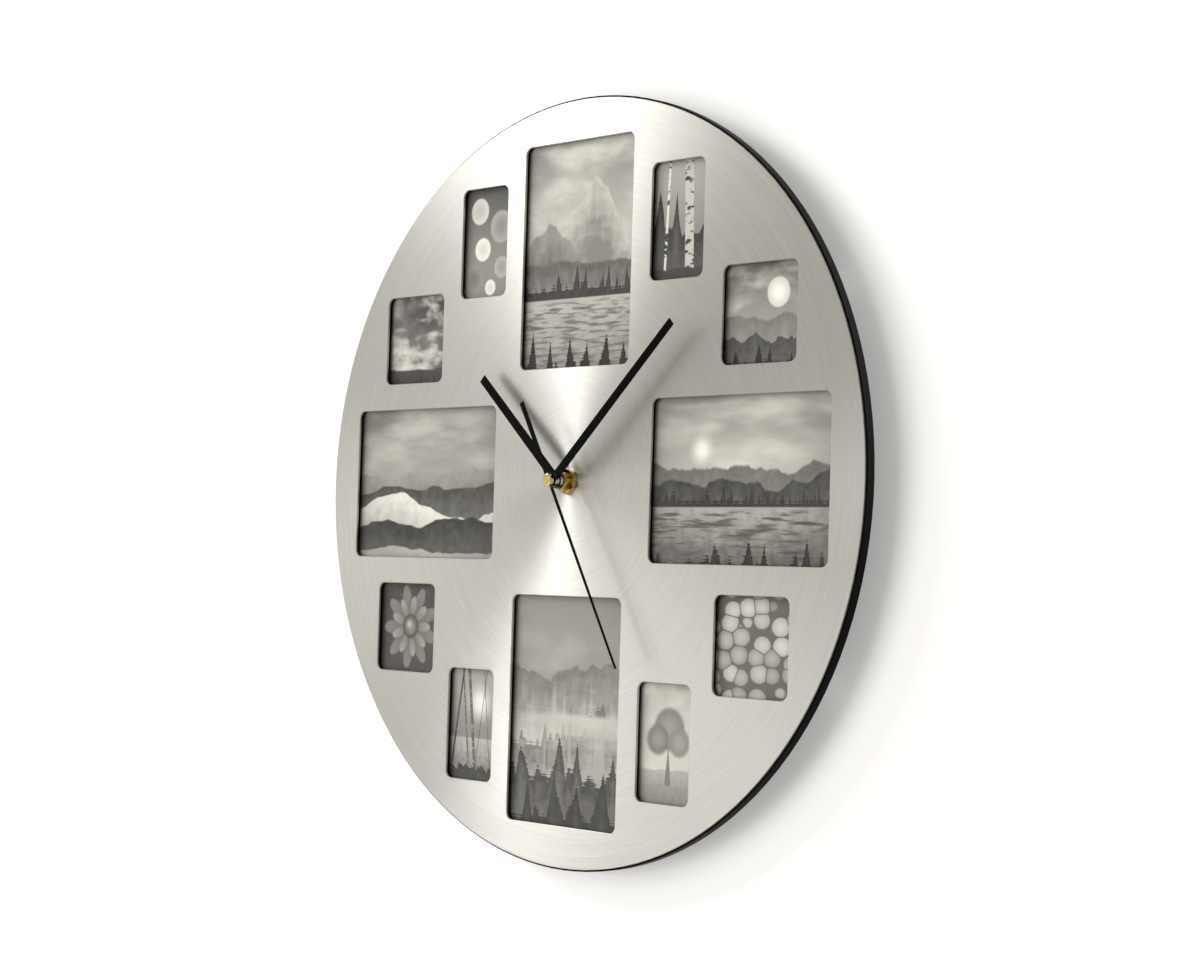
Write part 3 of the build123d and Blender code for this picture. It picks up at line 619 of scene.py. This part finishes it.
# %% Bars
bark_stretch = (3, 1, 9)
bar_inputs = {"Place": None, "Scale": 6.0, "Share": 0.55, "Seed": 0.0, "Lean": 0.0}
bar_mask, given, end = new_group("bar_mask", bar_inputs, ["Mask", "Shade"])
tree = bar_mask
apart = axes_of(tree, given["Place"])
bar_across = calc(tree, "ADD", apart["X"], calc(tree, "MULTIPLY", apart["Z"], given["Lean"]))
bar_noise = noisy_line(tree, bar_across, given["Scale"], given["Seed"], detail=0.0)
bar_over = calc(tree, "SUBTRACT", bar_noise, given["Share"])
bark = noise(tree, vector(tree, "MULTIPLY", {0: given["Place"], 1: bark_stretch}), scale=1.0, detail=3.0)
fill(tree, end, {"Mask": ramp(tree, bar_over, -soft_edge, soft_edge), "Shade": ramp(tree, bark, 0.52, 0.62)})
print("bar group:", bar_mask.name)

# %% [markdown]
# ## Drawing groups: pebbles and drift
# Pebbles are the cells of a Voronoi pattern with their corners cut off. Clouds, mist and waves are noise
# stretched sideways and kept between two heights. Both take a seed as the depth at which the pattern is
# cut, so that each picture gets its own.

# %% Pebbles and drift
pebble_stretch = 1.25
pebble_disorder = 0.6
round_share = 0.45
own_share = 0.55
band_edge = 0.08


def seeded_place(tree, given, stretch):
    """A picture point stretched in height, with the seed as its depth."""
    apart = axes_of(tree, given["Place"])
    tall = calc(tree, "MULTIPLY", apart["Z"], stretch)
    return put(tree, "ShaderNodeCombineXYZ", {"X": apart["X"], "Y": given["Seed"], "Z": tall}).outputs[0]


pebble_inputs = {"Place": None, "Scale": 2.4, "Seed": 0.0}
pebble_mask, given, end = new_group("pebble_mask", pebble_inputs, ["Mask", "Shade"])
tree = pebble_mask
pebble_place = seeded_place(tree, given, pebble_stretch)
pebble_field = {"Vector": pebble_place, "Scale": given["Scale"], "Randomness": pebble_disorder}
pebble_edge = put(tree, "ShaderNodeTexVoronoi", pebble_field, feature="DISTANCE_TO_EDGE").outputs["Distance"]
pebble_cell = put(tree, "ShaderNodeTexVoronoi", pebble_field).outputs
pebble_gap = ramp(tree, pebble_edge, 0.0, 0.06)
pebble_corner = ramp(tree, pebble_cell["Distance"], 0.58, 0.48)
pebble_round = calc(tree, "MULTIPLY", ramp(tree, pebble_cell["Distance"], 0.60, 0.05), round_share)
pebble_own = calc(tree, "MULTIPLY", axes_of(tree, pebble_cell["Color"])["X"], own_share)
fill(tree, end, {
    "Mask": calc(tree, "MULTIPLY", pebble_gap, pebble_corner),
    "Shade": calc(tree, "ADD", pebble_round, pebble_own, clamp=True)})

drift_inputs = {"Place": None, "Scale": 2.0, "Stretch": 2.0, "Seed": 0.0, "Level": 0.5, "Soft": 0.1,
                "Base": -9.0, "Top": 9.0}
drift_mask, given, end = new_group("drift_mask", drift_inputs, ["Mask", "Shade"])
tree = drift_mask
drift_place = seeded_place(tree, given, given["Stretch"])
drift_noise = noise(tree, drift_place, given["Scale"], detail=6.0)
drift_over = calc(tree, "DIVIDE", calc(tree, "SUBTRACT", drift_noise, given["Level"]), given["Soft"])
drift_height = axes_of(tree, given["Place"])["Z"]
under_top = ramp(tree, calc(tree, "SUBTRACT", given["Top"], drift_height), 0.0, band_edge)
over_base = ramp(tree, calc(tree, "SUBTRACT", drift_height, given["Base"]), 0.0, band_edge)
drift_band = calc(tree, "MULTIPLY", under_top, over_base)
fill(tree, end, {
    "Mask": calc(tree, "MULTIPLY", ramp(tree, drift_over, -1.0, 1.0), drift_band),
    "Shade": ramp(tree, drift_over, 0.0, 3.0)})
print("field groups:", pebble_mask.name, drift_mask.name)

# %% [markdown]
# ## Twelve pictures
# A picture starts as a sky that fades from one grey to another, and each layer paints two greys through a
# mask, the second where the shade is strong. Writing the pictures as short lists keeps them easy to change:
# add a hill, move the sun, or make the trees lean. Each function below turns one line of such a list into a
# group, its inputs and its two greys.

# %% Layers of a picture


def hill(height, swing, scale, seed, level, deep, soft=0.02, fade=0.6, slope=0.0, peak=0.0):
    """Land below a noisy line, from the grey level there to the grey deep further down."""
    values = {"Height": height, "Swing": swing, "Scale": scale, "Seed": seed, "Soft": soft, "Fade": fade,
              "Slope": slope, "Peak": peak}
    return ridge_mask, values, level, deep


def pines(height, tall, scale, seed, level, deep, swing=0.15, fade=0.5):
    """A row of pines; scale is how many stand in one unit of width."""
    values = {"Height": height, "Tall": tall, "Scale": scale, "Seed": seed, "Swing": swing, "Fade": fade}
    return pine_mask, values, level, deep


def spot(x, z, radius, level, edge, soft=0.03):
    """A round spot, from the grey level in its middle to the grey edge."""
    return spot_mask, {"X": x, "Z": z, "Radius": radius, "Soft": soft}, level, edge


def petals(x, z, radius, count, notch, level, tip, turn=0.0):
    """A ring of petals; notch is how deep the gaps between them go."""
    values = {"X": x, "Z": z, "Radius": radius, "Count": count, "Notch": notch, "Turn": turn}
    return petal_mask, values, level, tip


def bars(scale, share, seed, level, bark, lean=0.0):
    """Trunks with flecks of bark; a larger share leaves fewer and thinner ones."""
    return bar_mask, {"Scale": scale, "Share": share, "Seed": seed, "Lean": lean}, level, bark


def pebbles(scale, seed, level, light):
    """A bed of stones, each from the grey level to the grey light."""
    return pebble_mask, {"Scale": scale, "Seed": seed}, level, light


def drift(scale, stretch, seed, share, level, thick, soft=0.1, base=-9.0, top=9.0):
    """Cloud, mist or waves between the heights base and top."""
    values = {"Scale": scale, "Stretch": stretch, "Seed": seed, "Level": share, "Soft": soft, "Base": base,
              "Top": top}
    return drift_mask, values, level, thick


print("layer kinds: 7")

# %% [markdown]
# ## Pictures of the four large windows
# Each entry gives the window's hour, the greys of the sky at its top and at its foot, and the layers from
# back to front: a mountain lake at twelve, a lake at evening at three, a forest in mist at six and dunes at
# nine.

# %% Pictures of the four large windows
pictures = {
    12: (0.26, 0.50, [
        drift(1.0, 2.2, 8.0, 0.47, 0.44, 0.66),
        hill(0.92, 0.22, 1.6, 7.0, 0.46, 0.20, fade=0.7, slope=1.25, peak=0.22),
        hill(0.42, 0.20, 2.0, 21.0, 0.26, 0.12, slope=0.8, peak=-0.55),
        hill(-0.10, 0.16, 1.4, 2.0, 0.10, 0.22, fade=0.5),
        pines(-0.42, 0.34, 7.0, 3.0, 0.035, 0.06),
        hill(-0.52, 0.0, 1.0, 0.0, 0.40, 0.26, soft=0.01, fade=0.9),
        drift(3.0, 8.0, 5.0, 0.52, 0.20, 0.12, soft=0.06, base=-1.6, top=-0.52),
        pines(-1.42, 0.62, 3.2, 9.0, 0.02, 0.03, swing=0.2)]),
    3: (0.24, 0.48, [
        drift(0.8, 3.2, 6.0, 0.48, 0.40, 0.62, soft=0.12),
        spot(-0.62, 0.34, 0.15, 0.76, 0.58, soft=0.08),
        hill(0.16, 0.34, 0.8, 3.0, 0.13, 0.24, fade=0.5),
        hill(-0.02, 0.26, 1.2, 12.0, 0.04, 0.12, fade=0.4),
        pines(-0.26, 0.22, 9.0, 5.0, 0.03, 0.05, swing=0.06),
        hill(-0.30, 0.0, 1.0, 0.0, 0.34, 0.10, soft=0.01, fade=0.7),
        drift(2.6, 9.0, 9.0, 0.53, 0.14, 0.08, soft=0.06, base=-1.1, top=-0.30),
        pines(-0.98, 0.36, 4.5, 2.0, 0.025, 0.05, swing=0.12)]),
    6: (0.24, 0.22, [
        drift(0.9, 2.0, 4.0, 0.46, 0.24, 0.36, soft=0.14),
        hill(0.50, 0.42, 1.1, 6.0, 0.15, 0.28),
        pines(0.06, 0.30, 6.0, 4.0, 0.22, 0.40, swing=0.25, fade=0.4),
        pines(-0.34, 0.42, 4.4, 15.0, 0.12, 0.30, swing=0.25),
        drift(0.7, 3.5, 11.0, 0.50, 0.40, 0.50, soft=0.14, base=-0.8, top=0.0),
        pines(-0.80, 0.56, 3.4, 3.0, 0.05, 0.14, swing=0.2, fade=0.6),
        pines(-1.30, 0.80, 2.4, 9.0, 0.04, 0.08, swing=0.2, fade=0.8)]),
    9: (0.16, 0.34, [
        drift(0.7, 3.0, 3.0, 0.49, 0.34, 0.52, soft=0.12),
        hill(0.14, 0.24, 0.6, 4.0, 0.27, 0.16, soft=0.015, fade=0.4),
        hill(-0.06, 0.30, 0.5, 9.0, 0.05, 0.14, soft=0.012, fade=0.5),
        hill(-0.30, 0.34, 0.6, 14.0, 0.60, 0.34, soft=0.012, fade=0.5),
        hill(-0.52, 0.38, 0.5, 21.0, 0.03, 0.09, soft=0.012, fade=0.5),
        hill(-0.86, 0.22, 0.7, 2.0, 0.36, 0.22, soft=0.012, fade=0.4)]),
}
print("large pictures:", sorted(pictures))

# %% [markdown]
# ## Pictures of the eight small windows
# The small prints show one thing each, so that it can be read from afar: birch trunks at one, a moon at two,
# pebbles at four, a round tree at five, leaning stems at seven, a flower at eight, clouds at ten and lights
# out of focus at eleven.

# %% Pictures of the eight small windows
pictures.update({
    1: (0.34, 0.22, [
        pines(-0.40, 1.3, 1.9, 4.0, 0.03, 0.08, swing=0.2, fade=0.9),
        bars(2.0, 0.16, 4.0, 0.46, 0.04, lean=0.03),
        bars(3.0, 0.40, 9.0, 0.64, 0.03, lean=-0.04),
        hill(-1.15, 0.12, 3.0, 7.0, 0.05, 0.03)]),
    2: (0.12, 0.30, [
        drift(1.2, 2.6, 2.0, 0.50, 0.26, 0.46),
        spot(0.34, 0.36, 0.27, 0.80, 0.58, soft=0.02),
        hill(-0.12, 0.42, 1.0, 1.0, 0.16, 0.26),
        hill(-0.46, 0.30, 1.6, 8.0, 0.06, 0.12),
        pines(-0.92, 0.42, 4.0, 3.0, 0.015, 0.03)]),
    4: (0.12, 0.12, [
        pebbles(2.5, 3.0, 0.24, 0.54)]),
    5: (0.38, 0.52, [
        drift(1.0, 2.0, 12.0, 0.48, 0.46, 0.62, soft=0.12),
        hill(-0.62, 0.10, 1.0, 4.0, 0.34, 0.24),
        spot(0.05, 0.34, 0.50, 0.26, 0.18, soft=0.07),
        spot(-0.32, 0.08, 0.36, 0.24, 0.16, soft=0.07),
        spot(0.38, 0.04, 0.34, 0.28, 0.20, soft=0.07),
        hill(-0.05, 0.02, 3.0, 5.0, 0.16, 0.16, slope=9.0, peak=0.03),
        hill(-0.98, 0.10, 2.0, 1.0, 0.26, 0.18)]),
    7: (0.30, 0.18, [
        spot(0.2, 0.55, 0.40, 0.62, 0.46, soft=0.22),
        hill(-0.35, 0.05, 1.0, 3.0, 0.34, 0.16, soft=0.03, fade=0.8),
        bars(5.0, 0.30, 2.0, 0.10, 0.20, lean=0.12),
        bars(6.5, 0.42, 6.0, 0.05, 0.12, lean=-0.16),
        hill(-1.1, 0.3, 5.0, 3.0, 0.04, 0.08)]),
    8: (0.045, 0.065, [
        drift(1.2, 1.0, 7.0, 0.50, 0.06, 0.11, soft=0.14),
        petals(0.0, 0.02, 0.86, 9.0, 0.60, 0.07, 0.19, turn=0.3),
        petals(0.0, 0.02, 0.62, 9.0, 0.65, 0.08, 0.27),
        spot(0.0, 0.02, 0.25, 0.22, 0.06),
        spot(-0.04, 0.06, 0.12, 0.34, 0.16, soft=0.05)]),
    10: (0.045, 0.11, [
        drift(0.8, 1.5, 5.0, 0.50, 0.16, 0.40, soft=0.08),
        drift(1.5, 2.0, 9.0, 0.56, 0.32, 0.54, soft=0.07),
        hill(-0.60, 0.12, 1.3, 3.0, 0.05, 0.03),
        pines(-0.95, 0.3, 5.0, 6.0, 0.02, 0.03)]),
    11: (0.08, 0.22, [
        spot(-0.4, 0.85, 0.34, 0.42, 0.54),
        spot(0.45, 0.40, 0.42, 0.22, 0.32),
        spot(-0.25, -0.15, 0.30, 0.56, 0.68),
        spot(0.5, -0.65, 0.28, 0.28, 0.36),
        spot(-0.55, -0.90, 0.36, 0.16, 0.24),
        spot(0.08, -1.15, 0.20, 0.56, 0.70)]),
})
print("all pictures:", len(pictures))

# %% [markdown]
# ## Prints
# A print is warm grey ink on matt paper. Its picture is mixed from back to front, layer by layer, and then
# a film of fine grain and a darker border finish it. The picture coordinates come from the print's own
# box, so a print of another size would be filled as well.

# %% Print materials
paper_tint = (1.0, 0.97, 0.885)
print_contrast = 1.25
print_black = 0.015
darkest_ink = 0.004
sky_foot = -0.4
film_limits = (0.25, 0.75)
film_grey = 0.5
film_share = 0.04
border_radius = 1.05
border_soft = 0.7
border_grey = 0.05
border_share = 0.30


def grey(level):
    """A print's neutral grey, a little warm as on the photograph's paper."""
    tone = max(print_contrast * level - print_black, darkest_ink)
    return (*[tone * share for share in paper_tint], 1.0)


def printed_picture(name, node, top, bottom, layers):
    """A print: sky from bottom to top, layers painted through masks, then grain and a darker border."""
    material, tree, shader, place = new_finish(name)
    low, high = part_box(node)
    centre = (low + high) / 2
    size = 2.0 / min(high.x - low.x, high.z - low.z)
    shift = (-centre.x * size, 0, -centre.z * size)
    frame_of_print = {"Vector": place, "Location": shift, "Scale": (size, 0, size)}
    local = put(tree, "ShaderNodeMapping", frame_of_print).outputs[0]
    tall = size * (high.z - low.z) / 2
    rise = axes_of(tree, local)["Z"]
    colour = blend(tree, ramp(tree, rise, sky_foot * tall, tall), grey(bottom), grey(top))
    for group, values, level, other in layers:
        layer = put(tree, "ShaderNodeGroup", {"Place": local, **values}, node_tree=group).outputs
        colour = blend(tree, layer["Mask"], colour, blend(tree, layer["Shade"], grey(level), grey(other)))
    film = ramp(tree, grain(tree, place, scale=2600.0), *film_limits, 0.0, film_share)
    colour = blend(tree, film, colour, grey(film_grey))
    middle_spot = {"Place": local, "Radius": border_radius * tall, "Soft": border_soft * tall}
    middle = use(tree, spot_mask, middle_spot, "Mask")
    colour = blend(tree, ramp(tree, middle, 0.0, 1.0, border_share, 0.0), colour, grey(border_grey))
    fill(tree, shader, {"Base Color": colour, "Roughness": 0.5, "Specular IOR Level": 0.15})
    return material


for number, (top, bottom, layers) in pictures.items():
    node = f"photo_print_{number:02d}"
    dress(printed_picture(f"print_{number:02d}", node, top, bottom, layers), node)
print("prints dressed:", len(pictures))

# %% [markdown]
# ## Wall
# The clock hangs on a white wall, which is staging and not part of it. A pure white paint would swallow the
# clock's shadow, so the paint is a pale grey that also glows a little. The wall is seen only from the front
# and lets light through, so the back of the clock can be looked at too.

# %% Wall
wall_size = 8.0
wall_y = 0.0012
wall_colour = (0.79, 0.78, 0.765, 1)
wall_glow = 0.28


def flat_sheet(name, width, height, y):
    """An upright sheet facing -Y over a grid of u and v: x = (u - 1/2) width and z = (v - 1/2) height."""
    u, v = np.meshgrid(np.linspace(0, 1, 2), np.linspace(0, 1, 2))
    points = np.stack([(u - 0.5) * width, np.full_like(u, y), (v - 0.5) * height], axis=-1).reshape(-1, 3)
    mesh = bpy.data.meshes.new(name)
    mesh.from_pydata(points.tolist(), [], [(0, 1, 3, 2)])
    sheet = bpy.data.objects.new(name, mesh)
    bpy.context.scene.collection.objects.link(sheet)
    return sheet


wall = flat_sheet("white_wall", wall_size, wall_size, wall_y)
wall_paint = bpy.data.materials.new("white_wall_paint")
wall_paint.use_nodes = True
tree = wall_paint.node_tree
tree.nodes.clear()
seen = put(tree, "ShaderNodeLightPath").outputs
plain_view = calc(tree, "MAXIMUM", seen["Is Camera Ray"], seen["Is Glossy Ray"])
any_view = calc(tree, "MAXIMUM", plain_view, seen["Is Transmission Ray"])
strength = calc(tree, "MULTIPLY", any_view, wall_glow)
matt = put(tree, "ShaderNodeBsdfDiffuse", {"Color": wall_colour}).outputs[0]
glow = put(tree, "ShaderNodeEmission", {"Color": (1, 1, 1, 1), "Strength": strength}).outputs[0]
painted = put(tree, "ShaderNodeAddShader", {0: matt, 1: glow}).outputs[0]
clear = put(tree, "ShaderNodeBsdfTransparent").outputs[0]
behind = put(tree, "ShaderNodeNewGeometry").outputs["Backfacing"]
unseen = calc(tree, "MAXIMUM", behind, seen["Is Shadow Ray"])
surface = put(tree, "ShaderNodeMixShader", {0: unseen, 1: painted, 2: clear}).outputs[0]
put(tree, "ShaderNodeOutputMaterial", {"Surface": surface})
wall.data.materials.append(wall_paint)
print("wall:", wall.name)

# %% [markdown]
# ## Lights
# Brushed metal shows where each lamp stands, so the lamps are placed by what the photograph's disc mirrors.
# The wedge lamp, high on the left, draws the upper wedge and throws the clock's shadow to the right. Two
# small lamps with narrow beams brighten only the lower wedge and the lower left of the disc. The front strip
# and the low fill lift the rest, and the room light isn't mirrored, so it brightens the prints and leaves no
# patch in the metal. The last lamp is for views from behind. The world glows warm on the clock, and the
# camera sees it as plain white.

# %% Lights


def soft_lamp(name, place, target, size, power, mirrored=True, beam=180.0):
    """A rectangular lamp that looks at a target; beam is the full angle into which it shines."""
    lamp = bpy.data.lights.new(name, "AREA")
    lamp.shape = "RECTANGLE"
    lamp.size, lamp.size_y = size
    lamp.energy = power
    lamp.spread = math.radians(beam)
    light = bpy.data.objects.new(name, lamp)
    light.location = place
    light.rotation_euler = (Vector(target) - Vector(place)).to_track_quat("-Z", "Y").to_euler()
    light.visible_glossy = mirrored
    bpy.context.scene.collection.objects.link(light)


hub = (0, 0, 0)
low_wedge = (0, 0, -0.14)
lower_left = (-0.09, 0, -0.075)
right_half = (0.1, 0, 0)
soft_lamp("wedge_lamp", (-1.53, -1.035, 0.98), hub, size=(0.85, 0.55), power=17.0)
soft_lamp("low_wedge_lamp", (-0.57, -0.61, 0.375), low_wedge, size=(0.16, 0.10), power=0.021, beam=14.0)
soft_lamp("room_light", (-0.55, -2.2, 0.2), hub, size=(1.7, 1.7), power=24.0, mirrored=False)
soft_lamp("left_wash", (-0.87, -0.655, -0.03), lower_left, size=(0.16, 0.16), power=0.0042, beam=17.0)
soft_lamp("front_strip", (0.0, -2.0, 0.08), right_half, size=(0.5, 0.12), power=1.9)
soft_lamp("low_fill", (-1.07, -2.0, -0.72), hub, size=(1.2, 1.2), power=6.5)
soft_lamp("back_fill", (0.6, 2.2, 0.8), hub, size=(1.6, 1.6), power=60.0)
warm_room = (1.0, 0.965, 0.88, 1)
room_strength = 0.42
world = bpy.data.worlds.new("soft_studio")
world.use_nodes = True
tree = world.node_tree
tree.nodes.clear()
room_glow = put(tree, "ShaderNodeBackground", {"Color": warm_room, "Strength": room_strength}).outputs[0]
plain_white = put(tree, "ShaderNodeBackground", {"Color": (1, 1, 1, 1), "Strength": 1.0}).outputs[0]
camera_ray = put(tree, "ShaderNodeLightPath").outputs["Is Camera Ray"]
sky = put(tree, "ShaderNodeMixShader", {0: camera_ray, 1: room_glow, 2: plain_white}).outputs[0]
put(tree, "ShaderNodeOutputWorld", {"Surface": sky})
bpy.context.scene.world = world
print("lamps:", len(bpy.data.lights))
